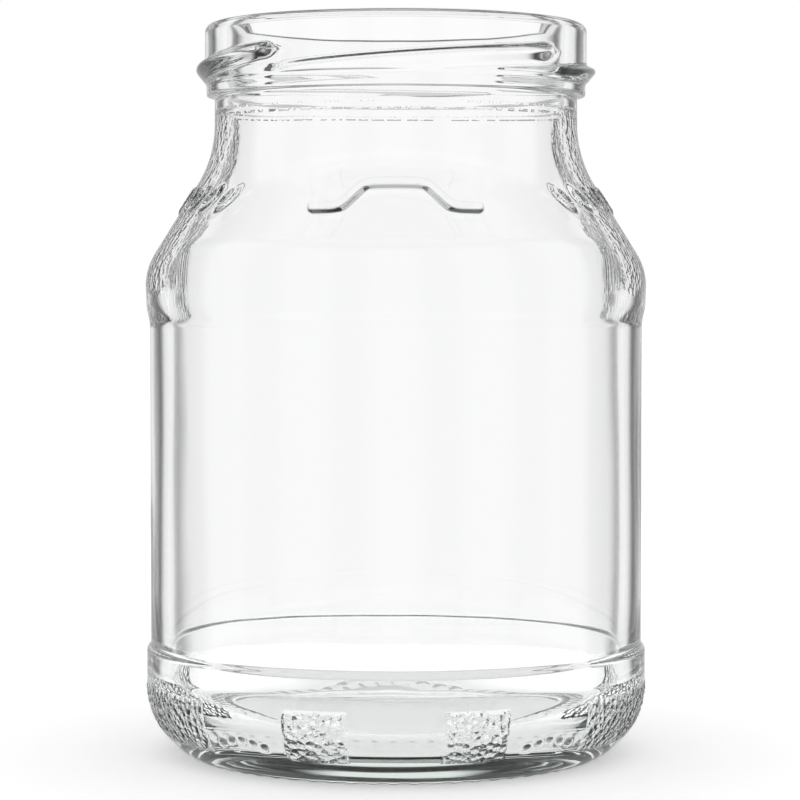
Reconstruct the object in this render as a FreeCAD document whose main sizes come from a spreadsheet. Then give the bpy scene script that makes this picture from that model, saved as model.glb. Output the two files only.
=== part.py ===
import FreeCAD, Part
import math
import os
import Sketcher

# Returnable yogurt jar of clear container glass: one blown piece, open at the
# top, with a lug finish for a twist-off lid.  Millimetres and degrees.  The
# axis is Z, the jar stands on Z = 0 and its front faces -Y.

# Driving sizes: alias, value, meaning.
SIZES = (
    ("TotalHeight", 125.7, "rim above the surface that the jar stands on"),
    ("BodyDiameter", 86.5, "heel band and shoulder band"),
    ("WallThickness", 3.4, "side wall behind the label panel"),
    ("ShoulderWall", 3.0, "wall along the cone of the shoulder"),
    ("RestInset", 7.45, "ring that the jar stands on, set in from the heel band"),
    ("RestWidth", 4.2, "width of that ring"),
    ("RestRound", 0.7, "rounding of the ring's edges"),
    ("HeelRadius", 13.6, "large rounding of the heel"),
    ("HeelFlat", 0.1, "least straight run that the heel's rounding leaves under it"),
    ("HeelAngle", 29.0, "rise of the heel above the ring, from the horizontal"),
    ("HeelTop", 18.35, "height of the heel band"),
    ("PanelDepth", 0.7, "label panel, set in from the two bands"),
    ("LowerStep", 0.7, "height of the step from the heel band to the panel"),
    ("LowerStepRound", 0.95, "rounding of that step"),
    ("UpperStep", 2.8, "height of the softer step from the panel to the shoulder band"),
    ("UpperStepInnerRound", 8.4, "hollow rounding of that step"),
    ("UpperStepOuterRound", 12.6, "full rounding of that step"),
    ("ShoulderBand", 6.4, "shoulder band, from the step to the corner of the shoulder"),
    ("ShoulderRadius", 10.6, "rounding from the band to the cone"),
    ("ShoulderAngle", 31.8, "cone of the shoulder, from the vertical"),
    ("FlareRadius", 20.1, "hollow rounding from the cone to the neck"),
    ("NeckInset", 1.65, "neck, set in from the mouth wall"),
    ("NeckLength", 10.3, "corner of the cone and neck to the finish"),
    ("MouthWall", 3.75, "wall of the mouth, from its outside to the bore"),
    ("InnerShoulderRadius", 7.6, "inside rounding under the shoulder"),
    ("InnerFlareRadius", 22.0, "inside rounding under the neck"),
    ("InnerHeelRadius", 9.0, "inside rounding round the floor"),
    ("FloorEdge", 5.2, "height that the domed inner floor would have at the wall"),
    ("FloorRise", 1.7, "inner floor, higher in the middle"),
    ("PushUp", 2.7, "hollow under the base, in the middle"),
    ("PushUpStep", 1.7, "part of the push-up that rises steeply inside the ring"),
    ("PushUpRound", 2.2, "rounding at the top of that steep part"),
    ("FinishDiameter", 65.9, "mouth wall, without the lugs"),
    ("FinishHeight", 12.4, "from the rim down to the underside of the bead"),
    ("BeadInset", 0.25, "bead under the mouth wall, set in from it"),
    ("BeadHeight", 2.1, "height of the bead"),
    ("BeadStep", 0.35, "height of the step from the bead to the mouth wall"),
    ("BeadRound", 0.55, "rounding under the bead"),
    ("NeckFillet", 0.5, "rounding from the neck to the bead's underside"),
    ("RimRound", 1.4, "rounding of the rim, inside and outside"),
    ("LugCount", 4, "lugs round the mouth"),
    ("LugSpan", 91.0, "angle that one lug covers"),
    ("LugPitch", 15.2, "rise of a lug for a whole turn"),
    ("LugNoseDrop", 5.7, "nose of a lug below the rim"),
    ("LugNoseAngle", -35.5, "angle of the first nose, from +X"),
    ("LugHeight", 1.5, "lug above the mouth wall"),
    ("LugCrown", 0.85, "radius of the lug's crown"),
    ("LugFlank", 46.0, "slope of the lug's flanks, from the radius"),
    ("LugRoot", 0.9, "depth that a lug reaches into the wall"),
    ("LugTailTaper", 13.0, "angle over which the low end of a lug sinks in"),
    ("LugNoseTaper", 6.0, "angle over which the nose of a lug sinks in"),
    ("RibTopHalf", 5.0, "half of the level top of the arched rib"),
    ("RibRun", 3.9, "sideways run of each slope of the rib"),
    ("RibRise", 4.1, "fall of each slope of the rib"),
    ("RibFoot", 5.0, "length of each foot of the rib"),
    ("RibWidth", 1.5, "width of the rib"),
    ("RibHeight", 0.55, "rib above the cone"),
    ("RibDrop", 5.6, "level top of the rib below the corner of cone and neck"),
    ("RibBend", 1.6, "bends of the rib"),
)
# How far a cutting or filling shape reaches past the surface that it meets.
DEEP = 1.0
# Round ends are a little less than half a width, so a short flat run is left.
ROUND_END = 0.48
# The last section of a lug lies below the wall by this share of the lug's height.
END_SINK = 1.25
# Sections of a lug: shares of each tapered end, and even steps between the two.
END_SHARES = (0.0, 0.08, 0.25, 0.55)
MIDDLE_STEPS = 5

doc = FreeCAD.newDocument("YogurtJar")
sheet = doc.addObject("Spreadsheet::Sheet", "Sizes")
for row, (alias, value, meaning) in enumerate(SIZES, start=1):
    sheet.set(f"A{row}", meaning)
    sheet.set(f"B{row}", str(value))
    sheet.setAlias(f"B{row}", alias)
doc.recompute()


def sized(words):
    """An expression in which every name of a size is read from the sheet."""
    for alias in sorted((entry[0] for entry in SIZES), key=len, reverse=True):
        words = words.replace(f"[{alias}]", f"Sizes.{alias}")
    return words


def number(words):
    """The present value of such an expression."""
    return float(sheet.evalExpression(sized(words)))


# Radii and heights that several outlines share.
BODY = "[BodyDiameter] / 2"
PANEL = "([BodyDiameter] / 2 - [PanelDepth])"
MOUTH = "[FinishDiameter] / 2"
NECK = f"({MOUTH} - [NeckInset])"
BORE = f"({MOUTH} - [MouthWall])"
BEAD = f"({MOUTH} - [BeadInset])"
REST = f"({BODY} - [RestInset])"
REST_INSIDE = f"({REST} - [RestWidth])"
INSIDE = f"({PANEL} - [WallThickness])"
TOP = "[TotalHeight]"
FINISH_FOOT = "([TotalHeight] - [FinishHeight])"
NECK_CORNER = f"({FINISH_FOOT} - [NeckLength])"
SHOULDER_CORNER = f"({NECK_CORNER} - ({BODY} - {NECK}) / tan([ShoulderAngle]))"
PANEL_TOP = f"({SHOULDER_CORNER} - [ShoulderBand] - [UpperStep])"
CONE_WALL = "([ShoulderWall] / cos([ShoulderAngle]))"


def cone_height(radius, wall):
    """Height at which the cone, moved in by a wall, has that radius."""
    return f"({SHOULDER_CORNER} + ({BODY} - {wall} - {radius}) / tan([ShoulderAngle]))"


def origin_plane(body, role):
    """The plane of the body's own origin that has that role."""
    return next(item for item in body.Origin.OriginFeatures if item.Role == role)


def new_sketch(body, name):
    """A sketch in the body's XZ plane: sideways is the radius, upwards is Z."""
    sketch = body.newObject("Sketcher::SketchObject", name)
    sketch.AttachmentSupport = [(origin_plane(body, "XZ_Plane"), "")]
    sketch.MapMode = "FlatFace"
    return sketch


def corner_places(corners):
    """Present places of the corners, and where each rounding begins and ends."""
    points = [FreeCAD.Vector(number(x), number(z), 0) for x, z, rounding in corners]
    places = []
    for index, (x, z, rounding) in enumerate(corners):
        here = points[index]
        back = (points[index - 1] - here).normalize()
        ahead = (points[(index + 1) % len(points)] - here).normalize()
        reach = 0.0
        if rounding:
            half = back.getAngle(ahead) / 2
            reach = number(rounding) / math.tan(half)
        places.append((here, here + back * reach, here + ahead * reach))
    return points, places


def arc_between(here, start, end, radius):
    """The arc that rounds a corner, from start to end."""
    middle = (start + end) * 0.5
    towards = (middle - here).normalize()
    reach = (start - here).Length
    centre = here + towards * math.hypot(reach, radius)
    crown = centre - towards * radius
    return Part.Arc(start, crown, end)


def dome_between(top, edge):
    """The arc from a point on the axis to an edge, centred on the axis."""
    rise = top.y - edge.y
    radius = (edge.x * edge.x + rise * rise) / (2 * rise)
    centre = FreeCAD.Vector(0, top.y - radius, 0)
    middle = ((top + edge) * 0.5 - centre).normalize() * radius + centre
    return Part.Arc(top, middle, edge)


def outline(sketch, corners, domed=False):
    """Draw a closed outline with rounded corners, every size bound to the sheet.

    Each corner is (x, z, rounding).  A construction point stands at the true
    corner, the straight sides run through two such points, and an arc of the
    stated radius is tangent to both sides of a rounded corner.  With domed,
    the first side is an arc that starts on the axis and is centred on it.
    """
    points, places = corner_places(corners)
    marks = []
    for (x, z, rounding), point in zip(corners, points):
        mark = sketch.addGeometry(Part.Point(point), True)
        marks.append(mark)
        for kind, words, value in (("DistanceX", x, point.x), ("DistanceY", z, point.y)):
            index = sketch.addConstraint(Sketcher.Constraint(kind, -1, 1, mark, 1, value))
            sketch.setExpression(f"Constraints[{index}]", sized(words))
    sides = []
    for index in range(len(corners)):
        following = (index + 1) % len(corners)
        start = places[index][2]
        end = places[following][1]
        if domed and index == 0:
            side = sketch.addGeometry(dome_between(start, end), False)
            sketch.addConstraint(Sketcher.Constraint("Coincident", side, 2, marks[0], 1))
            sketch.addConstraint(Sketcher.Constraint("Coincident", side, 1, marks[1], 1))
            sketch.addConstraint(Sketcher.Constraint("PointOnObject", side, 3, -2))
            sides.append(side)
            continue
        side = sketch.addGeometry(Part.LineSegment(start, end), False)
        sides.append(side)
        for place, rounding, mark in (
            (1, corners[index][2], marks[index]),
            (2, corners[following][2], marks[following]),
        ):
            if rounding:
                sketch.addConstraint(Sketcher.Constraint("PointOnObject", mark, 1, side))
            else:
                sketch.addConstraint(Sketcher.Constraint("Coincident", side, place, mark, 1))
    for index, (x, z, rounding) in enumerate(corners):
        if not rounding:
            continue
        here, start, end = places[index]
        radius = number(rounding)
        arc = sketch.addGeometry(arc_between(here, start, end, radius), False)
        curve = sketch.Geometry[arc]
        first = 1 if curve.StartPoint.distanceToPoint(start) < curve.EndPoint.distanceToPoint(start) else 2
        sketch.addConstraint(Sketcher.Constraint("Tangent", sides[index - 1], 2, arc, first))
        sketch.addConstraint(Sketcher.Constraint("Tangent", sides[index], 1, arc, 3 - first))
        bound = sketch.addConstraint(Sketcher.Constraint("Radius", arc, radius))
        sketch.setExpression(f"Constraints[{bound}]", sized(rounding))


def sharp(corners):
    """Corners without a rounding, for outlines that are rounded after spinning."""
    return [(x, z, None) for x, z in corners]


def spin(body, name, sketch, kind):
    """Turn a sketch a whole turn round Z, adding to or cutting from the body."""
    feature = body.newObject(kind, name)
    feature.Profile = sketch
    feature.ReferenceAxis = (origin_plane(body, "Z_Axis"), [""])
    feature.Angle = 360
    doc.recompute()
    return feature


def round_edges(body, name, wanted, size):
    """Round the level circles of the body that have those radii and heights."""
    base = body.Tip
    names = []
    for index, edge in enumerate(base.Shape.Edges, start=1):
        if edge.Degenerated or not isinstance(edge.Curve, Part.Circle):
            continue
        for radius, height in wanted:
            near = abs(edge.Curve.Radius - number(radius)) < 1e-4
            level = abs(edge.Curve.Center.z - number(height)) < 1e-4
            if near and level:
                names.append(f"Edge{index}")
    fillet = body.newObject("PartDesign::Fillet", name)
    fillet.Base = (base, names)
    fillet.setExpression("Radius", sized(size))
    doc.recompute()
    return fillet


def heel_room():
    """The largest rounding that the slope between ring and heel band leaves room for."""
    slope = "([RestInset] / cos([HeelAngle]))"
    taken = "([RestRound] * tan([HeelAngle] / 2))"
    return f"(({slope} - {taken} - [HeelFlat]) / tan((90 - [HeelAngle]) / 2))"


def blank(body):
    """The outside of the jar: a solid of revolution whose corners are then rounded."""
    sketch = new_sketch(body, "OutsideOutline")
    heel_corner = f"(({BODY} - {REST}) * tan([HeelAngle]))"
    corners = (
        ("0", "0"),
        (REST, "0"),
        (BODY, heel_corner),
        (BODY, "[HeelTop]"),
        (PANEL, "[HeelTop] + [LowerStep]"),
        (PANEL, PANEL_TOP),
        (BODY, f"{PANEL_TOP} + [UpperStep]"),
        (BODY, SHOULDER_CORNER),
        (NECK, NECK_CORNER),
        (NECK, FINISH_FOOT),
        (BEAD, FINISH_FOOT),
        (BEAD, f"{FINISH_FOOT} + [BeadHeight]"),
        (MOUTH, f"{FINISH_FOOT} + [BeadHeight] + [BeadStep]"),
        (MOUTH, TOP),
        ("0", TOP),
    )
    outline(sketch, sharp(corners))
    spin(body, "Outside", sketch, "PartDesign::Revolution")
    roundings = (
        ("Heel", corners[2:3], f"min([HeelRadius]; {heel_room()})"),
        ("RestOutside", corners[1:2], "[RestRound]"),
        ("PanelFoot", corners[3:5], "[LowerStepRound]"),
        ("PanelHead", corners[5:6], "[UpperStepInnerRound]"),
        ("BandFoot", corners[6:7], "[UpperStepOuterRound]"),
        ("Shoulder", corners[7:8], "[ShoulderRadius]"),
        ("Flare", corners[8:9], "[FlareRadius]"),
        ("NeckHead", corners[9:10], "[NeckFillet]"),
        ("BeadFoot", corners[10:11], "[BeadRound]"),
    )
    for name, wanted, size in roundings:
        round_edges(body, name, wanted, size)


def sink(turn):
    """How far a lug's section is sunk at an angle from its low end, as a share."""
    from_nose = number("[LugSpan]") - turn
    tail = max(0.0, 1.0 - turn / number("[LugTailTaper]"))
    nose = max(0.0, 1.0 - from_nose / number("[LugNoseTaper]"))
    return sum(1.0 - math.sqrt(1.0 - share * share) for share in (tail, nose))


def lug_turns():
    """Angles of the sections: close together at both ends, wide apart between."""
    tail = number("[LugTailTaper]")
    nose = number("[LugNoseTaper]")
    middle = number("[LugSpan]") - tail - nose
    low = [tail * share for share in END_SHARES]
    between = [tail + middle * step / MIDDLE_STEPS for step in range(MIDDLE_STEPS + 1)]
    high = [tail + middle + nose * (1.0 - share) for share in reversed(END_SHARES)]
    return low + between + high


def lug_section(body, name, turn):
    """One section of a lug: two sloping flanks and a round crown, on the helix."""
    sketch = new_sketch(body, name)
    span = number("[LugSpan]")
    nose_angle = number("[LugNoseAngle]")
    sketch.AttachmentOffset = FreeCAD.Placement(
        FreeCAD.Vector(0, 0, 0), FreeCAD.Rotation(FreeCAD.Vector(0, 1, 0), nose_angle - span + turn)
    )
    sketch.setExpression("AttachmentOffset.Rotation.Angle", sized(f"[LugNoseAngle] - [LugSpan] + {turn:.6f}"))
    height = f"{TOP} - [LugNoseDrop] - [LugPitch] * ([LugSpan] - {turn:.6f}) / 360"
    sketch.setExpression("AttachmentOffset.Base.y", sized(height))
    # The flanks meet in a sharp tip, which the crown rounds off.
    crown_top = f"({MOUTH} + [LugHeight] * (1 - {sink(turn) * END_SINK:.6f}))"
    tip = f"({crown_top} + [LugCrown] / sin([LugFlank]) - [LugCrown])"
    root = f"({crown_top} - [LugHeight] - [LugRoot])"
    half = f"(({tip} - {root}) * tan([LugFlank]))"
    outline(sketch, (
        (root, f"-{half}", None),
        (tip, "0", "[LugCrown]"),
        (root, half, None),
    ))
    return sketch


def lugs(body):
    """Four lugs: one lofted along its helix, the others by turning it round."""
    sections = [
        lug_section(body, f"LugSection{index + 1:02d}", turn)
        for index, turn in enumerate(lug_turns())
    ]
    doc.recompute()
    loft = body.newObject("PartDesign::AdditiveLoft", "Lug")
    loft.Profile = sections[0]
    loft.Sections = sections[1:]
    loft.Ruled = False
    doc.recompute()
    pattern = body.newObject("PartDesign::PolarPattern", "Lugs")
    pattern.Originals = [loft]
    pattern.Axis = (origin_plane(body, "Z_Axis"), [""])
    pattern.Angle = 360
    pattern.setExpression("Occurrences", sized("[LugCount]"))
    body.Tip = pattern
    doc.recompute()
    return pattern


def cavity(body):
    """The inside, cut out as a solid of revolution through the mouth."""
    sketch = new_sketch(body, "InsideOutline")
    above = f"({TOP} + {DEEP})"
    corners = (
        ("0", "([FloorEdge] + [FloorRise])"),
        (INSIDE, "[FloorEdge]"),
        (INSIDE, cone_height(INSIDE, CONE_WALL)),
        (BORE, cone_height(BORE, CONE_WALL)),
        (BORE, above),
        ("0", above),
    )
    outline(sketch, sharp(corners), domed=True)
    spin(body, "Inside", sketch, "PartDesign::Groove")
    round_edges(body, "InnerHeel", (corners[1],), "[InnerHeelRadius]")
    round_edges(body, "InnerShoulder", (corners[2],), "[InnerShoulderRadius]")
    round_edges(body, "InnerFlare", (corners[3],), "[InnerFlareRadius]")
    round_edges(body, "Rim", ((BORE, TOP), (MOUTH, TOP)), "[RimRound]")


def push_up(body):
    """The hollow under the base, inside the ring that the jar stands on."""
    sketch = new_sketch(body, "PushUpOutline")
    corners = (
        ("0", "[PushUp]"),
        (f"({REST_INSIDE} - [PushUpStep])", "[PushUpStep]"),
        (f"({REST_INSIDE} + {DEEP})", f"-{DEEP}"),
        ("0", f"-{DEEP}"),
    )
    outline(sketch, sharp(corners), domed=True)
    spin(body, "PushUpHollow", sketch, "PartDesign::Groove")
    round_edges(body, "PushUpEdge", (corners[1],), "[PushUpRound]")
    round_edges(body, "RestInside", ((REST_INSIDE, "0"),), "[RestRound]")


def rib_strip(body):
    """The arched rib's outline, carried forwards through the shoulder."""
    sketch = new_sketch(body, "RibOutline")
    level = f"({NECK_CORNER} - [RibDrop])"
    low = f"({level} - [RibRise])"
    half = "([RibWidth] / 2)"
    shift = f"({half} * tan(atan([RibRise] / [RibRun]) / 2))"
    foot = "([RibTopHalf] + [RibRun])"
    end = "([RibTopHalf] + [RibRun] + [RibFoot])"
    end_round = f"[RibWidth] * {ROUND_END}"
    outer = "[RibBend] + [RibWidth] / 2"
    inner = "[RibBend] - [RibWidth] / 2"
    right = (
        (end, f"{low} + {half}", end_round),
        (f"{foot} + {shift}", f"{low} + {half}", inner),
        (f"[RibTopHalf] + {shift}", f"{level} + {half}", outer),
    )
    right_under = (
        (f"[RibTopHalf] - {shift}", f"{level} - {half}", inner),
        (f"{foot} - {shift}", f"{low} - {half}", outer),
        (end, f"{low} - {half}", end_round),
    )
    left = tuple((f"-({x})", z, rounding) for x, z, rounding in reversed(right))
    left_under = tuple((f"-({x})", z, rounding) for x, z, rounding in reversed(right_under))
    outline(sketch, right + left + left_under + right_under)
    pad = body.newObject("PartDesign::Pad", "RibStrip")
    pad.Profile = sketch
    pad.setExpression("Length", sized(BODY))
    doc.recompute()
    return pad


def rib_layer(body):
    """A layer that follows the cone, as deep as the rib stands proud of it."""
    sketch = new_sketch(body, "RibLayerOutline")
    low = f"({NECK_CORNER} - [RibDrop] - [RibRise] - [RibWidth] - {DEEP})"
    high = f"({NECK_CORNER} - [RibDrop] + [RibWidth] + {DEEP})"
    proud = "([RibHeight] / cos([ShoulderAngle]))"

    def cone_radius(height):
        return f"({BODY} - ({height} - {SHOULDER_CORNER}) * tan([ShoulderAngle]))"

    outline(sketch, sharp((
        (f"{cone_radius(low)} - {DEEP}", low),
        (f"{cone_radius(low)} + {proud}", low),
        (f"{cone_radius(high)} + {proud}", high),
        (f"{cone_radius(high)} - {DEEP}", high),
    )))
    return spin(body, "RibLayer", sketch, "PartDesign::Revolution")


def check(objects, parts):
    """Stop if any object failed or any finished part isn't one valid solid."""
    for item in objects:
        bad = [state for state in item.State if state in ("Invalid", "Error")]
        if bad:
            raise RuntimeError(f"{item.Name} is {', '.join(bad)}")
    for item in parts:
        shape = item.Shape
        if shape.isNull() or not shape.isValid():
            raise RuntimeError(f"{item.Label} has no valid shape")
        if len(shape.Solids) != 1:
            raise RuntimeError(f"{item.Label} is {len(shape.Solids)} solids")


glass = doc.addObject("PartDesign::Body", "Glass")
blank(glass)
lugs(glass)
full = glass.Shape.Volume
cavity(glass)
hollow = glass.Shape.Volume
push_up(glass)
footed = glass.Shape.Volume
if not full > hollow > footed:
    raise RuntimeError("the inside or the push-up cuts nothing")

strip = doc.addObject("PartDesign::Body", "Strip")
rib_strip(strip)
layer = doc.addObject("PartDesign::Body", "Layer")
rib_layer(layer)
rib = doc.addObject("Part::Common", "Rib")
rib.Base = strip
rib.Tool = layer
jar = doc.addObject("Part::Fuse", "Jar")
jar.Base = glass
jar.Tool = rib
jar.Refine = True
jar.Label = "jar"
doc.recompute()

check(doc.Objects, [jar])
os.makedirs("parts", exist_ok=True)
for part in (jar,):
    part.Shape.exportStep(f"parts/{part.Label}.step")
    box = part.Shape.BoundBox
    print(part.Label, "volume", round(part.Shape.Volume), "box", box)
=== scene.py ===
"""Yogurt jar of clear container glass: its looks, laid out as a Blender add-on."""

import math
from types import SimpleNamespace

import bmesh
import bpy
from mathutils import Matrix, Vector, noise


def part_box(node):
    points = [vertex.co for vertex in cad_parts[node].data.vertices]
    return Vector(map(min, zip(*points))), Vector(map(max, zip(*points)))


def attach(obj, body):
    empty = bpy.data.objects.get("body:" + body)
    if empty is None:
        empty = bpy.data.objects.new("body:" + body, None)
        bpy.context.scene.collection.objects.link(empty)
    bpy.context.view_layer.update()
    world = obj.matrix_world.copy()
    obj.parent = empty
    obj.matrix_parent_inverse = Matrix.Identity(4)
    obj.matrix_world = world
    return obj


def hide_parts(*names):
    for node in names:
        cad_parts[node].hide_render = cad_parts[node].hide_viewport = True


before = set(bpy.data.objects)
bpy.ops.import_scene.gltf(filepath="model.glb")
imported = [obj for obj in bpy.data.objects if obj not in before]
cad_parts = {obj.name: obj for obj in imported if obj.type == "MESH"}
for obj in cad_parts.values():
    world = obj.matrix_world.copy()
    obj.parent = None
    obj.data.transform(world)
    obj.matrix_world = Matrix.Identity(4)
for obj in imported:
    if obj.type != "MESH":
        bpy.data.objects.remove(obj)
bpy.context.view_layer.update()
JAR_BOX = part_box("jar")

bl_info = {
    "name": "Yogurt jar",
    "version": (1, 0, 0),
    "blender": (4, 5, 0),
    "location": "View3D > Sidebar > Jar",
    "description": "Builds a clear glass yogurt jar with lugs for a twist-off lid",
    "category": "Add Mesh",
}

MM = 0.001
HEIGHT = JAR_BOX[1][2] - JAR_BOX[0][2]
WIDTH = round(JAR_BOX[1][0] - JAR_BOX[0][0], 4)


def linear(hex_colour):
    """An sRGB hex colour as linear red, green, blue and full alpha."""
    parts = [int(hex_colour[i:i + 2], 16) / 255 for i in (1, 3, 5)]
    return [c / 12.92 if c <= 0.04045 else ((c + 0.055) / 1.055) ** 2.4 for c in parts] + [1.0]


class JarShape(bpy.types.PropertyGroup):
    """Sizes of the jar: wall, bands, neck, mouth and base."""

    height: bpy.props.FloatProperty(
        name="Height", description="Rim above the floor",
        default=HEIGHT, min=0.0, unit="LENGTH")
    body: bpy.props.FloatProperty(
        name="Body", description="Diameter of the two bands",
        default=WIDTH, min=0.0, unit="LENGTH")
    wall: bpy.props.FloatProperty(
        name="Wall", description="Side wall behind the label panel",
        default=3.4 * MM, min=0.0, unit="LENGTH")
    shoulder_wall: bpy.props.FloatProperty(
        name="Shoulder wall", description="Wall along the cone",
        default=3.0 * MM, min=0.0, unit="LENGTH")
    rest: bpy.props.FloatProperty(
        name="Ring", description="Outer diameter of the standing ring",
        default=71.6 * MM, min=0.0, unit="LENGTH")
    rest_width: bpy.props.FloatProperty(
        name="Ring width", description="Width of the standing ring",
        default=4.2 * MM, min=0.0, unit="LENGTH")
    heel_round: bpy.props.FloatProperty(
        name="Heel", description="Large rounding of the heel",
        default=13.6 * MM, min=0.0, unit="LENGTH")
    heel_angle: bpy.props.FloatProperty(
        name="Heel angle", description="Rise of the heel above the ring",
        default=math.radians(29.0), subtype="ANGLE")
    heel_top: bpy.props.FloatProperty(
        name="Heel band", description="Height of the heel band",
        default=18.35 * MM, min=0.0, unit="LENGTH")
    panel: bpy.props.FloatProperty(
        name="Panel depth", description="Label panel, set in from the bands",
        default=0.7 * MM, min=0.0, unit="LENGTH")
    lower_step: bpy.props.FloatProperty(
        name="Lower step", description="Height of the step under the panel",
        default=0.7 * MM, min=0.0, unit="LENGTH")
    upper_step: bpy.props.FloatProperty(
        name="Upper step", description="Height of the step over the panel",
        default=2.8 * MM, min=0.0, unit="LENGTH")
    band: bpy.props.FloatProperty(
        name="Shoulder band", description="From the step to the shoulder's corner",
        default=6.4 * MM, min=0.0, unit="LENGTH")
    shoulder_round: bpy.props.FloatProperty(
        name="Shoulder", description="Rounding from band to cone",
        default=10.6 * MM, min=0.0, unit="LENGTH")
    cone: bpy.props.FloatProperty(
        name="Cone", description="Angle of the cone from the vertical",
        default=math.radians(31.8), subtype="ANGLE")
    flare_round: bpy.props.FloatProperty(
        name="Flare", description="Rounding from cone to neck",
        default=20.1 * MM, min=0.0, unit="LENGTH")
    neck: bpy.props.FloatProperty(
        name="Neck", description="Outside diameter of the neck",
        default=62.6 * MM, min=0.0, unit="LENGTH")
    neck_length: bpy.props.FloatProperty(
        name="Neck length", description="Corner of the neck to the bead",
        default=10.3 * MM, min=0.0, unit="LENGTH")
    bore: bpy.props.FloatProperty(
        name="Bore", description="Inside diameter of the mouth",
        default=58.4 * MM, min=0.0, unit="LENGTH")
    mouth: bpy.props.FloatProperty(
        name="Mouth", description="Outside diameter of the mouth wall",
        default=65.9 * MM, min=0.0, unit="LENGTH")
    finish: bpy.props.FloatProperty(
        name="Finish", description="Rim down to the bead's underside",
        default=12.4 * MM, min=0.0, unit="LENGTH")
    bead: bpy.props.FloatProperty(
        name="Bead", description="Diameter of the bead",
        default=65.4 * MM, min=0.0, unit="LENGTH")
    bead_height: bpy.props.FloatProperty(
        name="Bead height", description="Height of the bead",
        default=2.1 * MM, min=0.0, unit="LENGTH")
    rim_round: bpy.props.FloatProperty(
        name="Rim", description="Rounding of the rim",
        default=1.4 * MM, min=0.0, unit="LENGTH")
    floor_edge: bpy.props.FloatProperty(
        name="Floor edge", description="Domed floor, at the wall",
        default=5.2 * MM, min=0.0, unit="LENGTH")
    floor_rise: bpy.props.FloatProperty(
        name="Floor rise", description="Inner floor, higher in the middle",
        default=1.7 * MM, min=0.0, unit="LENGTH")
    push_up: bpy.props.FloatProperty(
        name="Push-up", description="Hollow under the base",
        default=2.7 * MM, min=0.0, unit="LENGTH")
    push_step: bpy.props.FloatProperty(
        name="Push-up step", description="Steep part of the push-up",
        default=1.7 * MM, min=0.0, unit="LENGTH")


class JarRelief(bpy.types.PropertyGroup):
    """What stands out of the glass: lugs, rib, stipple and mould marks."""

    lug_count: bpy.props.IntProperty(
        name="Lugs", description="Lugs round the mouth", default=4, min=1)
    lug_span: bpy.props.FloatProperty(
        name="Lug span", description="Angle of one lug",
        default=math.radians(91.0), subtype="ANGLE")
    lug_pitch: bpy.props.FloatProperty(
        name="Lug pitch", description="Rise in a whole turn",
        default=15.2 * MM, min=0.0, unit="LENGTH")
    lug_drop: bpy.props.FloatProperty(
        name="Lug drop", description="Nose below the rim",
        default=5.7 * MM, min=0.0, unit="LENGTH")
    lug_nose: bpy.props.FloatProperty(
        name="Lug nose", description="Angle of the first nose from +X",
        default=math.radians(-35.5), subtype="ANGLE")
    lug_height: bpy.props.FloatProperty(
        name="Lug height", description="Out of the mouth wall",
        default=1.5 * MM, min=0.0, unit="LENGTH")
    lug_crown: bpy.props.FloatProperty(
        name="Lug crown", description="Radius of the crown",
        default=0.7 * MM, min=0.0, unit="LENGTH")
    lug_flank: bpy.props.FloatProperty(
        name="Lug flank", description="Slope of the lower flank",
        default=math.radians(40.0), subtype="ANGLE")
    lug_lean: bpy.props.FloatProperty(
        name="Lug lean", description="Upper flank steeper by",
        default=math.radians(26.0), subtype="ANGLE")
    rib_height: bpy.props.FloatProperty(
        name="Rib height", description="Arched rib above the cone",
        default=0.95 * MM, min=0.0, unit="LENGTH")
    rib_width: bpy.props.FloatProperty(
        name="Rib width", description="Width of the arched rib",
        default=1.6 * MM, min=0.0, unit="LENGTH")
    stipple: bpy.props.FloatProperty(
        name="Stipple", description="Height of the heel's stipple",
        default=0.16 * MM, min=0.0, unit="LENGTH")


class JarGlass(bpy.types.PropertyGroup):
    """Colours of the glass and of the studio."""

    tint: bpy.props.FloatVectorProperty(
        name="Tint", description="Light left after passing through", default=linear("#DCE9E2"),
        size=4, min=0.0, max=1.0, subtype="COLOR")
    depth: bpy.props.FloatProperty(
        name="Tint density", description="Per metre of glass", default=11.0, min=0.0)
    paper: bpy.props.FloatVectorProperty(
        name="Paper", description="Floor and backdrop", default=linear("#FFFFFF"),
        size=4, min=0.0, max=1.0, subtype="COLOR")


def plain(group):
    """A group's values as plain numbers: lengths in millimetres, angles in degrees."""
    values = {}
    for name in group.__annotations__:
        values[name] = getattr(group, name)
        unit = group.bl_rna.properties[name].unit
        if unit == "LENGTH":
            values[name] /= MM
        elif unit == "ROTATION":
            values[name] = math.degrees(values[name])
    return SimpleNamespace(**values)


def add_node(tree, kind, links=(), **settings):
    """Add a node; settings set its sockets by name or number, or its own values."""
    node = tree.nodes.new(kind)
    for key, value in settings.items():
        if hasattr(node, key):
            setattr(node, key, value)
        else:
            name = key.replace("_", " ")
            socket = next(s for s in node.inputs if s.name.lower() == name.lower())
            socket.default_value = value
    for source, target in links:
        tree.links.new(source, node.inputs[target])
    return node


# Roundings of the outside that have no property of their own, in mm.
REST_ROUND = 0.7
STEP_ROUND = 1.1
STEP_HOLLOW = 8.4
STEP_FULL = 12.6
NECK_FILLET = 0.5
BEAD_ROUND = 0.55
BEAD_EDGE = 0.3
BEAD_STEP = 0.35

# Roundings of the inside, in mm.
INNER_FLARE = 22.0
INNER_SHOULDER = 14.0
INNER_HEEL = 9.0

# Push-up and domed floor: points along each dome, and the corners beside them.
PUSH_UP_POINTS = 9
PUSH_UP_LIP = (0.4, 0.25)
FLOOR_POINTS = 7
FLOOR_DOME_SHARE = 0.72
ONE_STEP = 99  # a spacing, in mm, so wide that the run is one edge

# The mesh has four columns to each crescent cut into the standing ring.
CRESCENTS = 66
COLUMNS = 4 * CRESCENTS
CRESCENT_DEPTH = 0.26

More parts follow.
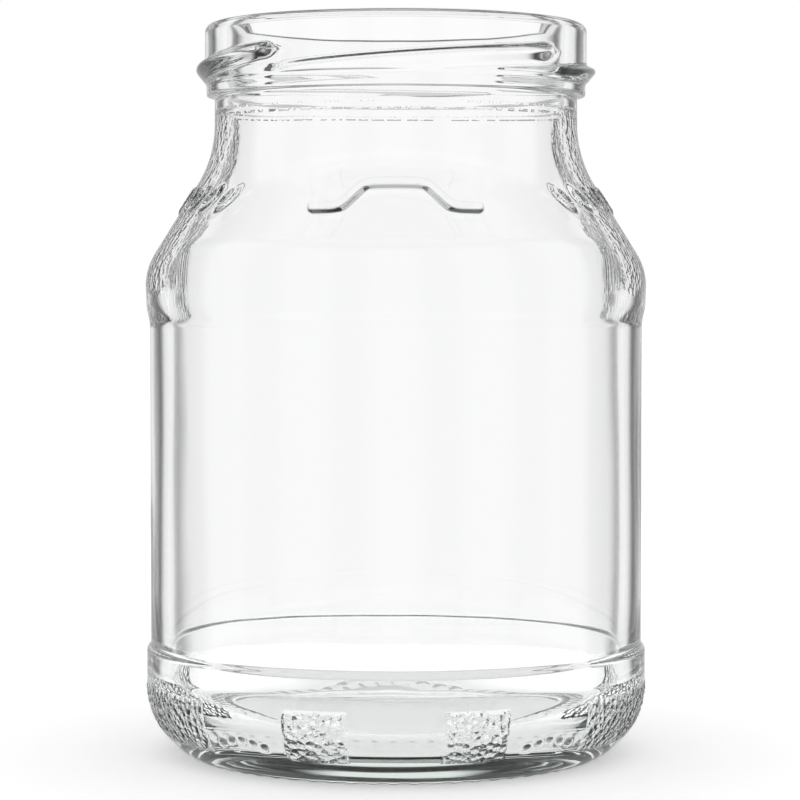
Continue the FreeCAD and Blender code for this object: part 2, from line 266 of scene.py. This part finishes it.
# Lugs, in mm: the rounded nose and tail, the low end that sinks into the wall, and the
# soft foot of the flanks. A point is how sharp an end is, and 1 is a half circle.
LUG_NOSE = 3.4
LUG_NOSE_POINT = 0.6
LUG_TAIL = 2.4
LUG_TAIL_POINT = 0.8
LUG_SINK = 8
LUG_ROOT = 0.35
LUG_MARGIN = 8  # degrees beyond each end in which a lug can still be felt

# Arched rib, in mm: half of its level top, run and fall of each slope, half of its whole
# length, its top below the corner of the neck, and the area outside which there is none.
RIB_TOP_HALF = 5.0
RIB_RUN = 3.9
RIB_RISE = 4.1
RIB_END = 13.3
RIB_DROP = 5.7
RIB_REACH = 16
RIB_BEND = 0.24  # softness of the bends, as a share of the slope's run
RIB_EDGE = (0.32, 0.18)

# Stippled patches, in degrees from the front, and the size of their grain, in mm.
HEEL_WINDOWS = ((10.5, 25.3), (47.0, 104.0))
HEEL_FINE_WINDOWS = ((8.5, 46.0), (45.0, 105.0))
HEEL_GRAIN = 0.8
CONE_WINDOW = (60, 67, 102, 109)
HEEL_STIPPLE = 1.8

# A row of slanted rings on each flank: how high over the shoulder, in mm, where it
# starts, how far apart the rings are and how wide they are, in degrees, and their height.
RING_ROW = 11.6
RING_START = 46
RING_STEP = 8.2
RING_COUNT = 6
RING_SLANT = 1.1
RING_SIZE = (2.9, 2.4)
RING_HEIGHT = 0.4

# Dots low on the heel: degrees from the front and millimetres above the floor.
DOTS = ((30.5, 6.0), (33.5, 6.6), (36.5, 7.0), (39.5, 6.6), (42.5, 6.0))
DOT_SIZE = 0.95
DOT_HEIGHT = 0.4
DOT_MM_PER_DEGREE = 0.72

# Mould marks and unevenness: height and width or wavelength, in mm.
SEAM = (0.07, 0.9)
OUTER_WAVES = ((0.012, 5.0), (0.03, 17.0))
INNER_WAVES = (24.0, 7.0)

# Broken lines round the neck: mm below the bead, share that breaks away, strength.
NECK_LINES = ((2.5, 0.30, 0.3), (3.6, 0.46, 1.0))
NECK_LINE_ZONE = (1.5, 5.0)

# Glass: refraction of soda-lime glass, size of the stipple's grain and its relief, in mm.
GLASS_IOR = 1.52
STIPPLE_GRAIN = 1.2
STIPPLE_DEPTH = 0.7
LINE_HALF_WIDTH = 0.24
LINE_DEPTH = 0.45
BUMP_HEIGHT = 0.8

# Paper: brightness added for the camera, painted glow for the glass, and where it ends, in
# metres.
PAPER_LIFT = 0.14
PAPER_GLOW_THROUGH_GLASS = 0.45
PAPER_EDGE = (0.055, 0.11)
PAPER_HALF_SIZE = 60.0

# Studio: panels round the jar, and where each fades, in degrees from its middle.
PANELS = 8
PANEL_FADE = (15.0, 21.5)
PANEL_FADE_MIRRORED = (8.0, 18.0)
PANEL_TOP = (27, 40)
PANEL_FOOT = (-32.0, -25.5)
GAP_LIGHT = 0.02
FRONT_FILL = 0.55
TOP_LIGHT = 0.5
TOP_LIGHT_MIRRORED = 0.03
REFLECTED_LIGHT = 0.7

# Camera: lens and sensor in mm, place in metres, pitch in degrees below level.
LENS = 126.0
SENSOR = 36.0
CAMERA_PLACE = (0.0007, -0.4864, 0.0809)
CAMERA_PITCH = 2.35


class Pen:
    """Draws the jar's outline as a chain of edges in the XZ plane, in millimetres."""

    def __init__(self, mesh, radius, height):
        self.mesh = mesh
        self.last = mesh.verts.new((radius, 0, height))

    def line(self, radius, height, spacing):
        """A straight run to a point, with vertices about a spacing apart."""
        start = self.last.co.copy()
        end = Vector((radius, 0, height))
        steps = max(1, round((end - start).length / spacing))
        for step in range(steps):
            grown = bmesh.ops.extrude_vert_indiv(self.mesh, verts=[self.last])
            self.last = grown["verts"][0]
            self.last.co = start.lerp(end, (step + 1) / steps)

    def arc(self, corner, ahead, rounding, pace, spacing):
        """Run up to a corner at a pace, round it, and stop where the next side begins."""
        corner = Vector((corner[0], 0, corner[1]))
        before = (self.last.co - corner).normalized()
        after = (Vector((ahead[0], 0, ahead[1])) - corner).normalized()
        half = before.angle(after) / 2
        reach = rounding / math.tan(half)
        start = corner + before * reach
        self.line(start.x, start.z, pace)
        centre = corner + (before + after).normalized() * (rounding / math.sin(half))
        turn = math.pi - 2 * half
        steps = max(2, round(turn * rounding / spacing))
        axis = after.cross(before).normalized()
        grown = bmesh.ops.spin(
            self.mesh, geom=[self.last], cent=centre, axis=axis, dvec=(0, 0, 0),
            angle=turn, steps=steps, use_merge=False, use_duplicate=False,
        )
        self.last = next(
            item for item in grown["geom_last"] if isinstance(item, bmesh.types.BMVert))

    def trace(self, corners):
        """Follow corners (radius, height, rounding, spacing on the run, in the round)."""
        for index, (radius, height, rounding, pace, fine) in enumerate(corners):
            if rounding:
                ahead = corners[index + 1][:2]
                self.arc((radius, height), ahead, rounding, pace, fine)
            else:
                self.line(radius, height, pace)


def dome_angle(radius, rise):
    """Sphere radius of a shallow dome, and half the angle that it covers."""
    sphere = (radius * radius + rise * rise) / (2 * rise)
    return sphere, math.asin(radius / sphere)


def levels(shape):
    """Heights and radii that several parts of the outline share."""
    level = {"body": shape.body / 2, "neck": shape.neck / 2, "mouth": shape.mouth / 2}
    level["panel"] = level["body"] - shape.panel
    level["inside"] = level["panel"] - shape.wall
    level["bore"] = shape.bore / 2
    level["foot"] = shape.height - shape.finish
    level["neck_corner"] = level["foot"] - shape.neck_length
    slope = math.tan(math.radians(shape.cone))
    level["shoulder"] = level["neck_corner"] - (level["body"] - level["neck"]) / slope
    level["panel_top"] = level["shoulder"] - shape.band - shape.upper_step
    level["slope"] = slope
    return level


def outside_corners(shape, level):
    """The outside from the standing ring up to the rim."""
    rest = shape.rest / 2
    heel = (level["body"] - rest) * math.tan(math.radians(shape.heel_angle))
    panel_foot = shape.heel_top + shape.lower_step
    band_foot = level["panel_top"] + shape.upper_step
    bead_top = level["foot"] + shape.bead_height
    top = shape.height
    # Radius, height, rounding, spacing of points on the run and in the round.
    return [
        (rest, 0.0, REST_ROUND, 0.6, 0.15),
        (level["body"], heel, shape.heel_round, 0.5, 0.55),
        (level["body"], shape.heel_top, STEP_ROUND, 1.6, 0.18),
        (level["panel"], panel_foot, STEP_ROUND, 0.3, 0.18),
        (level["panel"], level["panel_top"], STEP_HOLLOW, 7.5, 0.3),
        (level["body"], band_foot, STEP_FULL, 0.3, 0.45),
        (level["body"], level["shoulder"], shape.shoulder_round, 1.0, 0.6),
        (level["neck"], level["neck_corner"], shape.flare_round, 0.48, 0.8),
        (level["neck"], level["foot"], NECK_FILLET, 0.9, 0.2),
        (shape.bead / 2, level["foot"], BEAD_ROUND, 0.3, 0.2),
        (shape.bead / 2, bead_top, BEAD_EDGE, 0.5, 0.1),
        (level["mouth"], bead_top + BEAD_STEP, BEAD_EDGE, 0.3, 0.1),
        (level["mouth"], top, shape.rim_round, 0.22, 0.28),
        (level["bore"], top, shape.rim_round, 0.6, 0.35),
    ]


def inside_corners(shape, level):
    """The inside from the rim down to the domed floor's edge."""
    offset = shape.shoulder_wall / math.cos(math.radians(shape.cone))

    def cone_height(radius):
        return level["shoulder"] + (level["body"] - offset - radius) / level["slope"]

    return [
        (level["bore"], cone_height(level["bore"]), INNER_FLARE, 1.6, 1.2),
        (level["inside"], cone_height(level["inside"]), INNER_SHOULDER, 2.0, 0.9),
        (level["inside"], shape.floor_edge, INNER_HEEL, 6.0, 0.8),
    ]


def draw_outline(mesh, shape, level):
    """The whole section of the glass, from the axis under the base to the inner floor."""
    inner = shape.rest / 2 - shape.rest_width
    slope_top = inner - shape.push_step
    sphere, angle = dome_angle(slope_top, shape.push_up - shape.push_step)
    pen = Pen(mesh, 0.0, shape.push_up)
    for step in range(1, PUSH_UP_POINTS + 1):
        turn = angle * step / PUSH_UP_POINTS
        pen.line(
            sphere * math.sin(turn), shape.push_up - sphere * (1 - math.cos(turn)), ONE_STEP)
    pen.line(slope_top + PUSH_UP_LIP[0], shape.push_step - PUSH_UP_LIP[1], 0.5)
    sphere, angle = dome_angle(level["inside"], shape.floor_rise)
    base = shape.floor_edge + shape.floor_rise - sphere
    edge = level["inside"] * FLOOR_DOME_SHARE
    floor_corner = (edge, base + math.sqrt(sphere * sphere - edge * edge), 0.0, 2.4, 0)
    pen.trace(
        [(inner, 0.0, REST_ROUND, 0.6, 0.25)] + outside_corners(shape, level)
        + inside_corners(shape, level) + [floor_corner])
    for step in range(1, FLOOR_POINTS + 1):
        radius = edge * (1 - step / FLOOR_POINTS)
        pen.line(radius, base + math.sqrt(sphere * sphere - radius * radius), ONE_STEP)


def azimuth(point):
    """Angle round the jar from its front (-Y), in degrees, positive towards +X."""
    return math.degrees(math.atan2(point.x, -point.y))


def smooth(low, high, value):
    """Nought below low, one above high, eased between."""
    t = min(1.0, max(0.0, (value - low) / (high - low)))
    return t * t * (3 - 2 * t)


def ridge(distance, half_width):
    """A rounded ridge of height one."""
    if distance >= half_width:
        return 0.0
    return 0.5 + 0.5 * math.cos(math.pi * distance / half_width)


def lug_profile(relief, side, angle):
    """Height of a lug at a distance from its centreline: crown, flank, rounded root."""
    flank = math.radians(angle)
    crown_half = relief.lug_crown * math.sin(flank)
    if side < crown_half:
        crown = math.sqrt(relief.lug_crown ** 2 - side * side)
        return relief.lug_height - relief.lug_crown + crown
    edge = relief.lug_height - relief.lug_crown * (1 - math.cos(flank))
    fall = edge - (side - crown_half) * math.tan(flank)
    if fall > LUG_ROOT:
        return fall
    if fall < -LUG_ROOT:
        return 0.0
    return (fall + LUG_ROOT) ** 2 / (4 * LUG_ROOT)


def lug_relief(shape, relief, point):
    """Height of the nearest lug over the mouth wall."""
    radius = shape.mouth / 2
    whole = math.radians(relief.lug_span) * radius
    slope = relief.lug_pitch / (2 * math.pi * radius)
    between = 360 / relief.lug_count
    ahead = (relief.lug_nose - math.degrees(math.atan2(point.y, point.x))) % between
    best = 0.0
    for behind in (ahead, ahead + between, ahead - between):
        if not -LUG_MARGIN < behind < relief.lug_span + LUG_MARGIN:
            continue
        travel = math.radians(behind) * radius
        side = point.z - (shape.height - relief.lug_drop - travel * slope)
        angle = relief.lug_flank + relief.lug_lean * smooth(-0.3, 0.3, side)
        if travel < LUG_NOSE:
            side = math.hypot(side, (LUG_NOSE - travel) * LUG_NOSE_POINT)
        elif travel > whole - LUG_TAIL:
            side = math.hypot(side, (travel - (whole - LUG_TAIL)) * LUG_TAIL_POINT)
        swell = 0.3 + 0.7 * smooth(0, LUG_SINK, whole - travel)
        best = max(best, lug_profile(relief, abs(side), angle) * swell)
    return best


def bend(value, softness):
    """Nought below nought and the value itself above, with a rounded corner."""
    return 0.5 * (value + math.sqrt(value * value + softness * softness))


def rib_relief(relief, level, point):
    """Height of the arched rib on the front of the cone."""
    along = abs(point.x)
    if point.y > 0 or along > RIB_REACH:
        return 0.0
    share = (along - RIB_TOP_HALF) / RIB_RUN
    fallen = bend(share, RIB_BEND) - bend(share - 1, RIB_BEND)
    entering = share / math.hypot(share, RIB_BEND)
    leaving = (share - 1) / math.hypot(share - 1, RIB_BEND)
    steep = (RIB_RISE / RIB_RUN) * (entering - leaving) / 2
    below = abs(point.z - level["neck_corner"] + RIB_DROP + RIB_RISE * fallen)
    near = math.hypot(below / math.hypot(1, steep), max(0.0, along - RIB_END))
    half = relief.rib_width / 2
    return relief.rib_height * (1 - smooth(half - RIB_EDGE[0], half + RIB_EDGE[1], near))


def in_windows(angle, windows, edge):
    """How far an angle is inside any of the windows, eased over an edge."""
    return max(
        smooth(low, low + edge, angle) * (1 - smooth(high - edge, high, angle))
        for low, high in windows)


def heel_relief(relief, point):
    """Stipple patches round the heel, with bare gaps between them."""
    zone = in_windows(abs(azimuth(point)), HEEL_WINDOWS, 1.0)
    zone *= smooth(4.2, 5.6, point.z) * (1 - smooth(12.0, 12.8, point.z))
    if zone < 0.01:
        return 0.0
    near = noise.voronoi(point / HEEL_GRAIN)[0][0]
    return relief.stipple * zone * smooth(0.62, 0.1, near)


def stippled(level, point):
    """How strongly a point of the outside carries the mould's stipple."""
    angle = abs(azimuth(point))
    heel = in_windows(angle, HEEL_WINDOWS, 0.9)
    heel *= smooth(4.0, 4.6, point.z) * (1 - smooth(12.2, 12.8, point.z))
    begin, full, fade, end = CONE_WINDOW
    cone = smooth(begin, full, angle) * (1 - smooth(fade, end, angle))
    cone *= smooth(level["shoulder"] - 5, level["shoulder"], point.z)
    cone *= 1 - smooth(level["foot"] - 5, level["foot"] - 3, point.z)
    cone *= 1 - 0.9 * ridge(abs(point.z - level["shoulder"] - RING_ROW), 4.5)
    return max(HEEL_STIPPLE * heel, cone)


def worked(level, point, mask):
    """One where the outside carries fine relief: stipple or neck lines."""
    low, high = NECK_LINE_ZONE
    on_neck = low < level["foot"] - point.z < high
    return 1.0 if mask > 0.0 or on_neck else 0.0


def slanted_rings(level, point):
    """A row of slanted rings on each flank of the cone."""
    rise = point.z - level["shoulder"] - RING_ROW
    along = abs(azimuth(point)) - RING_START + rise * RING_SLANT
    if abs(rise) > 3.2 or not 0 < along < RING_STEP * RING_COUNT:
        return 0.0
    across, up = RING_SIZE
    ring = math.hypot((along % RING_STEP - RING_STEP / 2) / across, rise / up)
    return RING_HEIGHT * ridge(abs(ring - 0.7), 0.42)


def mould_marks(point):
    """Dots that a mould leaves low on the heel, between the stippled patches."""
    angle = abs(azimuth(point))
    distances = [
        math.hypot((angle - place) * DOT_MM_PER_DEGREE, point.z - height)
        for place, height in DOTS]
    return DOT_HEIGHT * ridge(min(distances), DOT_SIZE)


def seams(shape, point):
    """Parting line of the two halves of the mould."""
    height, half_width = SEAM
    turn = abs(abs(azimuth(point)) - 90)
    return height * ridge(math.radians(turn) * shape.body / 2, half_width)


def knurl(shape, point):
    """Crescents cut into the standing ring."""
    radius = math.hypot(point.x, point.y)
    middle = shape.rest / 2 - shape.rest_width / 2
    step = 360 / CRESCENTS
    turn = math.degrees(math.atan2(point.y, point.x)) % step - step / 2
    across = abs(radius - middle) / (shape.rest_width / 2)
    cut = smooth(1.05, 1.9, abs(turn + across * 0.7))
    return CRESCENT_DEPTH * cut * (1 - smooth(0.8, 1.3, across))


def outside_move(shape, relief, level, point, normal):
    """How far a point of the outer surface stands out, in millimetres."""
    move = 0.0
    for height, wave in OUTER_WAVES:
        move += height * noise.noise(point / wave)
    z = point.z
    faces_out = normal.x * point.x + normal.y * point.y > 0
    if level["foot"] + shape.bead_height + 0.4 < z < shape.height - 0.7 and faces_out:
        move += lug_relief(shape, relief, point)
    elif level["shoulder"] - 7 < z < level["neck_corner"]:
        move += rib_relief(relief, level, point)
        move += slanted_rings(level, point) + seams(shape, point)
    elif z >= level["neck_corner"]:
        move += seams(shape, point)
    elif 2.0 < z < 14:
        move += heel_relief(relief, point) + mould_marks(point)
    return move


def inside_move(level, point):
    """Unevenness of the inner surface, stronger in the body than in the neck."""
    low = 1 - smooth(level["shoulder"], level["neck_corner"], point.z)
    long_wave, short_wave = INNER_WAVES
    move = (0.04 + 0.10 * low) * noise.noise(point / long_wave)
    return move + 0.01 * noise.noise(point / short_wave)


def refine(mesh, chosen, cuts):
    """Divide the faces that a test chooses, and put new points back on the round."""
    radius = mesh.verts.layers.float["radius"]
    faces = [face for face in mesh.faces if chosen(face.calc_center_median(), face)]
    edges = {edge for face in faces for edge in face.edges}
    bmesh.ops.subdivide_edges(mesh, edges=list(edges), cuts=cuts, use_grid_fill=True)
    for vert in mesh.verts:
        flat = math.hypot(vert.co.x, vert.co.y)
        if flat > 1:
            vert.co.x *= vert[radius] / flat
            vert.co.y *= vert[radius] / flat


def blow_glass(shape, relief):
    """The jar's glass as one closed mesh, in metres."""
    level = levels(shape)
    mesh = bmesh.new()
    outer = mesh.verts.layers.float.new("outer")
    radius = mesh.verts.layers.float.new("radius")
    stipple = mesh.verts.layers.float.new("stipple")
    zone = mesh.verts.layers.float.new("worked")
    draw_outline(mesh, shape, level)
    heights = [vert.co.z for vert in mesh.verts]
    rim_count = heights.index(max(heights))
    for index, vert in enumerate(mesh.verts):
        vert[outer] = 1.0 if index < rim_count else 0.0
        vert[radius] = vert.co.x
    bmesh.ops.spin(
        mesh, geom=mesh.verts[:] + mesh.edges[:], cent=(0, 0, 0), axis=(0, 0, 1),
        dvec=(0, 0, 0), angle=2 * math.pi, steps=COLUMNS, use_merge=True, use_duplicate=False,
    )
    bmesh.ops.remove_doubles(mesh, verts=mesh.verts[:], dist=0.002)
    bmesh.ops.recalc_face_normals(mesh, faces=mesh.faces[:])
    if mesh.calc_volume(signed=True) < 0:
        bmesh.ops.reverse_faces(mesh, faces=mesh.faces[:])

    def is_outer(face):
        return all(vert[outer] > 0.5 for vert in face.verts)

    def on_rib(centre, face):
        below = level["neck_corner"] - centre.z
        return 4.0 < below < 11.2 and centre.y < 0 and abs(centre.x) < 15.0 and is_outer(face)

    def on_heel(centre, face):
        if not 3.0 < centre.z < 13.2 or not is_outer(face):
            return False
        return in_windows(abs(azimuth(centre)), HEEL_FINE_WINDOWS, 0.5) > 0.5

    def on_rings(centre, face):
        near = abs(centre.z - level["shoulder"] - RING_ROW) < 3.4
        return near and 43 < abs(azimuth(centre)) < 98 and is_outer(face)

    refine(mesh, on_rib, 3)
    refine(mesh, on_heel, 1)
    refine(mesh, on_rings, 1)
    mesh.normal_update()
    moves = []
    ring_inside = shape.rest / 2 - shape.rest_width - 1
    for vert in mesh.verts:
        normal = vert.normal.copy()
        if vert[outer] > 0.5:
            vert[stipple] = stippled(level, vert.co)
            vert[zone] = worked(level, vert.co, vert[stipple])
            if vert.co.z < 1.2 and ring_inside < math.hypot(vert.co.x, vert.co.y):
                move = Vector((0, 0, knurl(shape, vert.co)))
            else:
                move = normal * outside_move(shape, relief, level, vert.co, normal)
        else:
            move = normal * inside_move(level, vert.co)
        moves.append((vert, move))
    for vert, move in moves:
        vert.co += move
    bmesh.ops.scale(mesh, vec=(MM, MM, MM), verts=mesh.verts[:])
    for face in mesh.faces:
        face.smooth = True
    return mesh


def container_glass(looks, foot):
    """Soda-lime container glass, pressed and blown in a mould.

    The eye gets a clear, strongly refracting body that goes dark where a wall is seen
    edge on, a faint green where the light passes through much glass, and a coarse
    sparkle where the mould's stipple breaks the light up.
    """
    material = bpy.data.materials.new("clear_container_glass")
    material.use_nodes = True
    tree = material.node_tree
    tree.nodes.clear()
    where = add_node(tree, "ShaderNodeTexCoord")
    in_mm = add_node(
        tree, "ShaderNodeVectorMath", operation="SCALE", links=((where.outputs["Object"], 0),))
    in_mm.inputs["Scale"].default_value = 1 / MM
    place = in_mm.outputs["Vector"]
    grains = add_node(
        tree, "ShaderNodeTexVoronoi", feature="F1", links=((place, "Vector"),),
        Scale=1 / STIPPLE_GRAIN)
    rough = math_node(tree, "MULTIPLY", grains.outputs["Distance"], -STIPPLE_DEPTH)
    mask = add_node(tree, "ShaderNodeAttribute", attribute_name="stipple")
    relief = math_node(tree, "MULTIPLY", rough, mask.outputs["Fac"])
    split = add_node(tree, "ShaderNodeSeparateXYZ", links=((place, 0),))
    outer = add_node(tree, "ShaderNodeAttribute", attribute_name="outer")
    for below, gap, strength in NECK_LINES:
        away = math_node(tree, "SUBTRACT", split.outputs["Z"], foot - below)
        away = math_node(tree, "ABSOLUTE", away)
        line = ramp(tree, away, 0.0, LINE_HALF_WIDTH, strength, 0.0)
        drawn = ramp(tree, grains.outputs["Distance"], gap, gap + 0.1, 0.0, 1.0)
        line = math_node(tree, "MULTIPLY", line, drawn)
        line = math_node(tree, "MULTIPLY", line, outer.outputs["Fac"])
        relief = math_node(tree, "MULTIPLY_ADD", line, LINE_DEPTH, relief)
    bump = add_node(
        tree, "ShaderNodeBump", links=((relief, "Height"),), Strength=1.0,
        Distance=BUMP_HEIGHT * MM)
    smooth_glass, relieved_glass = [add_node(
        tree, "ShaderNodeBsdfPrincipled", Base_Color=(1, 1, 1, 1), Roughness=0.0,
        IOR=GLASS_IOR, Transmission_Weight=1.0) for _ in range(2)]
    tree.links.new(bump.outputs["Normal"], relieved_glass.inputs["Normal"])
    # The relief is worked out only where there is any, which keeps the render short.
    zone = add_node(tree, "ShaderNodeAttribute", attribute_name="worked")
    inside = math_node(tree, "GREATER_THAN", zone.outputs["Fac"], 0.01)
    surface = add_node(tree, "ShaderNodeMixShader", links=(
        (inside, 0), (smooth_glass.outputs[0], 1), (relieved_glass.outputs[0], 2)))
    absorb = add_node(
        tree, "ShaderNodeVolumeAbsorption", Color=tuple(looks.tint), Density=looks.depth)
    add_node(tree, "ShaderNodeOutputMaterial", links=(
        (surface.outputs[0], "Surface"), (absorb.outputs["Volume"], "Volume")))
    return material


class OBJECT_OT_jar_glass(bpy.types.Operator):
    """Build the glass of the jar"""

    bl_idname = "object.jar_glass"
    bl_label = "Jar glass"

    def execute(self, context):
        scene = context.scene
        shape = plain(scene.jar_shape)
        mesh = blow_glass(shape, plain(scene.jar_relief))
        data = bpy.data.meshes.new("jar_glass")
        mesh.to_mesh(data)
        mesh.free()
        data.materials.append(container_glass(scene.jar_looks, levels(shape)["foot"]))
        jar = bpy.data.objects.new("jar_glass", data)
        scene.collection.objects.link(jar)
        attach(jar, "root")
        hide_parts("jar")
        return {"FINISHED"}


def math_node(tree, operation, first, second=None, third=None):
    """A math node on sockets or numbers; gives its output socket."""
    node = add_node(tree, "ShaderNodeMath", operation=operation)
    for index, value in enumerate((first, second, third)):
        if isinstance(value, (int, float)):
            node.inputs[index].default_value = value
        elif value is not None:
            tree.links.new(value, node.inputs[index])
    return node.outputs[0]


def ramp(tree, value, low, high, to_low, to_high):
    """An eased ramp from one value to another."""
    node = add_node(
        tree, "ShaderNodeMapRange", links=((value, "Value"),), interpolation_type="SMOOTHSTEP",
        From_Min=low, From_Max=high, To_Min=to_low,
    )
    if isinstance(to_high, (int, float)):
        node.inputs["To Max"].default_value = to_high
    else:
        tree.links.new(to_high, node.inputs["To Max"])
    return node.outputs["Result"]


def mix_value(tree, share, value, other):
    """A value that turns into another number as the share goes from nought to one."""
    node = add_node(tree, "ShaderNodeMix", data_type="FLOAT", links=((share, 0), (value, 2)))
    node.inputs[3].default_value = other
    return node.outputs[0]


def paper_floor(looks):
    """Seamless white paper: matt, with no gloss, and white right to the horizon.

    The camera sees it a little brighter than it is lit, so that it meets the backdrop.
    Past its edge the glass sees the panels of the studio through it.
    """
    material = bpy.data.materials.new("seamless_paper")
    material.use_nodes = True
    tree = material.node_tree
    tree.nodes.clear()
    paper = add_node(
        tree, "ShaderNodeBsdfPrincipled", Base_Color=tuple(looks.paper), Roughness=0.9,
        Specular_IOR_Level=0.0, Emission_Color=tuple(looks.paper))
    path = add_node(tree, "ShaderNodeLightPath")
    lift = math_node(tree, "MULTIPLY", path.outputs["Is Camera Ray"], PAPER_LIFT)
    # Painted light: seen through the glass, the paper glows, which lifts the jar's shadow under
    # its base.
    through = math_node(
        tree, "MULTIPLY", path.outputs["Is Transmission Ray"], PAPER_GLOW_THROUGH_GLASS)
    lift = math_node(tree, "ADD", lift, through)
    tree.links.new(lift, paper.inputs["Emission Strength"])
    where = add_node(tree, "ShaderNodeTexCoord")
    away = add_node(
        tree, "ShaderNodeVectorMath", operation="LENGTH", links=((where.outputs["Object"], 0),))
    past = ramp(tree, away.outputs["Value"], *PAPER_EDGE, 0.0, 1.0)
    glass = math_node(
        tree, "MAXIMUM", path.outputs["Is Transmission Ray"], path.outputs["Is Glossy Ray"])
    clear = add_node(tree, "ShaderNodeBsdfTransparent")
    mix = add_node(tree, "ShaderNodeMixShader", links=(
        (math_node(tree, "MULTIPLY", glass, past), 0), (paper.outputs[0], 1),
        (clear.outputs[0], 2)))
    add_node(tree, "ShaderNodeOutputMaterial", links=((mix.outputs[0], "Surface"),))
    return material


def fade(tree, value, limits, to_low, to_high):
    """A ramp between two limits in degrees."""
    low, high = limits
    return ramp(tree, value, math.radians(low), math.radians(high), to_low, to_high)


def studio_world(world, looks):
    """An even white studio, in which the glass sees white panels with soft dark gaps.

    The camera and diffuse light see plain white. Light that has passed through the
    glass sees the panels, which give a clear jar its dark edges. Light mirrored inside
    the glass sees them too, fainter on the front side, where their mirror image would
    stand inside the jar as bands. A single reflection sees an even light.
    """
    world.use_nodes = True
    tree = world.node_tree
    tree.nodes.clear()
    path = add_node(tree, "ShaderNodeLightPath")
    where = add_node(tree, "ShaderNodeTexCoord")
    split = add_node(tree, "ShaderNodeSeparateXYZ", links=((where.outputs["Generated"], 0),))
    turn = math_node(tree, "ARCTAN2", split.outputs["X"], split.outputs["Y"])
    from_middle = math_node(tree, "PINGPONG", turn, math.pi / PANELS)
    height = math_node(tree, "ARCSINE", split.outputs["Z"])
    mirrored = math_node(tree, "GREATER_THAN", path.outputs["Glossy Depth"], 0.5)
    direct = fade(tree, from_middle, PANEL_FADE, 1.0, GAP_LIGHT)
    turned = fade(tree, from_middle, PANEL_FADE_MIRRORED, 1.0, 0.0)
    fill = ramp(tree, split.outputs["Y"], -0.2, 0.2, FRONT_FILL, 0.0)
    turned = math_node(tree, "MULTIPLY_ADD", turned, math_node(tree, "SUBTRACT", 1.0, fill), fill)
    panel = add_node(
        tree, "ShaderNodeMix", data_type="FLOAT",
        links=((mirrored, 0), (direct, 2), (turned, 3))).outputs[0]
    lowest = math_node(
        tree, "MULTIPLY_ADD", mirrored, TOP_LIGHT_MIRRORED - TOP_LIGHT, TOP_LIGHT)
    above = fade(tree, height, PANEL_TOP, 1.0, lowest)
    below = fade(tree, height, PANEL_FOOT, GAP_LIGHT, 1.0)
    seen = math_node(tree, "MULTIPLY", math_node(tree, "MULTIPLY", panel, above), below)
    deep = math_node(tree, "GREATER_THAN", path.outputs["Transmission Depth"], 2.5)
    inner = math_node(tree, "MULTIPLY", mirrored, deep)
    mirror = math_node(tree, "MAXIMUM", inner, path.outputs["Is Reflection Ray"])
    seen = mix_value(tree, mirror, seen, REFLECTED_LIGHT)
    scattered = math_node(tree, "GREATER_THAN", path.outputs["Diffuse Depth"], 0.5)
    even = math_node(tree, "MAXIMUM", scattered, path.outputs["Is Camera Ray"])
    strength = mix_value(tree, even, seen, 1.0)
    light = add_node(
        tree, "ShaderNodeBackground", Color=tuple(looks.paper), links=((strength, "Strength"),))
    add_node(tree, "ShaderNodeOutputWorld", links=((light.outputs[0], "Surface"),))


class SCENE_OT_jar_stage(bpy.types.Operator):
    """Add the paper floor, the soft light and the camera"""

    bl_idname = "scene.jar_stage"
    bl_label = "Jar stage"

    def execute(self, context):
        scene = context.scene
        mesh = bmesh.new()
        bmesh.ops.create_grid(mesh, x_segments=4, y_segments=4, size=PAPER_HALF_SIZE)
        data = bpy.data.meshes.new("floor")
        mesh.to_mesh(data)
        mesh.free()
        data.materials.append(paper_floor(scene.jar_looks))
        floor = bpy.data.objects.new("floor", data)
        scene.collection.objects.link(floor)
        if scene.world is None:
            scene.world = bpy.data.worlds.new("studio")
        studio_world(scene.world, scene.jar_looks)
        lens = bpy.data.cameras.new("camera")
        lens.lens = LENS
        lens.sensor_width = SENSOR
        lens.clip_start = 0.01
        camera = bpy.data.objects.new("camera", lens)
        scene.collection.objects.link(camera)
        tilt = math.pi / 2 - math.radians(CAMERA_PITCH)
        place = Matrix.Translation(Vector(CAMERA_PLACE))
        camera.matrix_world = place @ Matrix.Rotation(tilt, 4, "X")
        scene.camera = camera
        scene.view_settings.view_transform = "Standard"
        scene.cycles.max_bounces = 20
        scene.cycles.transmission_bounces = 20
        scene.cycles.glossy_bounces = 10
        scene.cycles.transparent_max_bounces = 16
        return {"FINISHED"}


class VIEW3D_PT_jar(bpy.types.Panel):
    """Sizes and buttons for the jar"""

    bl_label = "Yogurt jar"
    bl_space_type = "VIEW_3D"
    bl_region_type = "UI"
    bl_category = "Jar"

    def draw(self, context):
        for group in (context.scene.jar_shape, context.scene.jar_relief, context.scene.jar_looks):
            column = self.layout.column(align=True)
            for name in group.__annotations__:
                column.prop(group, name)
        self.layout.operator("object.jar_glass")
        self.layout.operator("scene.jar_stage")


CLASSES = (
    JarShape, JarRelief, JarGlass, OBJECT_OT_jar_glass, SCENE_OT_jar_stage, VIEW3D_PT_jar)


def register():
    """Make the sizes, the buttons and the panel known to Blender."""
    for item in CLASSES:
        bpy.utils.register_class(item)
    bpy.types.Scene.jar_shape = bpy.props.PointerProperty(type=JarShape)
    bpy.types.Scene.jar_relief = bpy.props.PointerProperty(type=JarRelief)
    bpy.types.Scene.jar_looks = bpy.props.PointerProperty(type=JarGlass)


def unregister():
    """Take everything that register added out again."""
    del bpy.types.Scene.jar_looks
    del bpy.types.Scene.jar_relief
    del bpy.types.Scene.jar_shape
    for item in reversed(CLASSES):
        bpy.utils.unregister_class(item)


def main():
    """Build the jar and its stage."""
    register()
    bpy.ops.object.jar_glass()
    bpy.ops.scene.jar_stage()


if __name__ == "__main__":
    main()
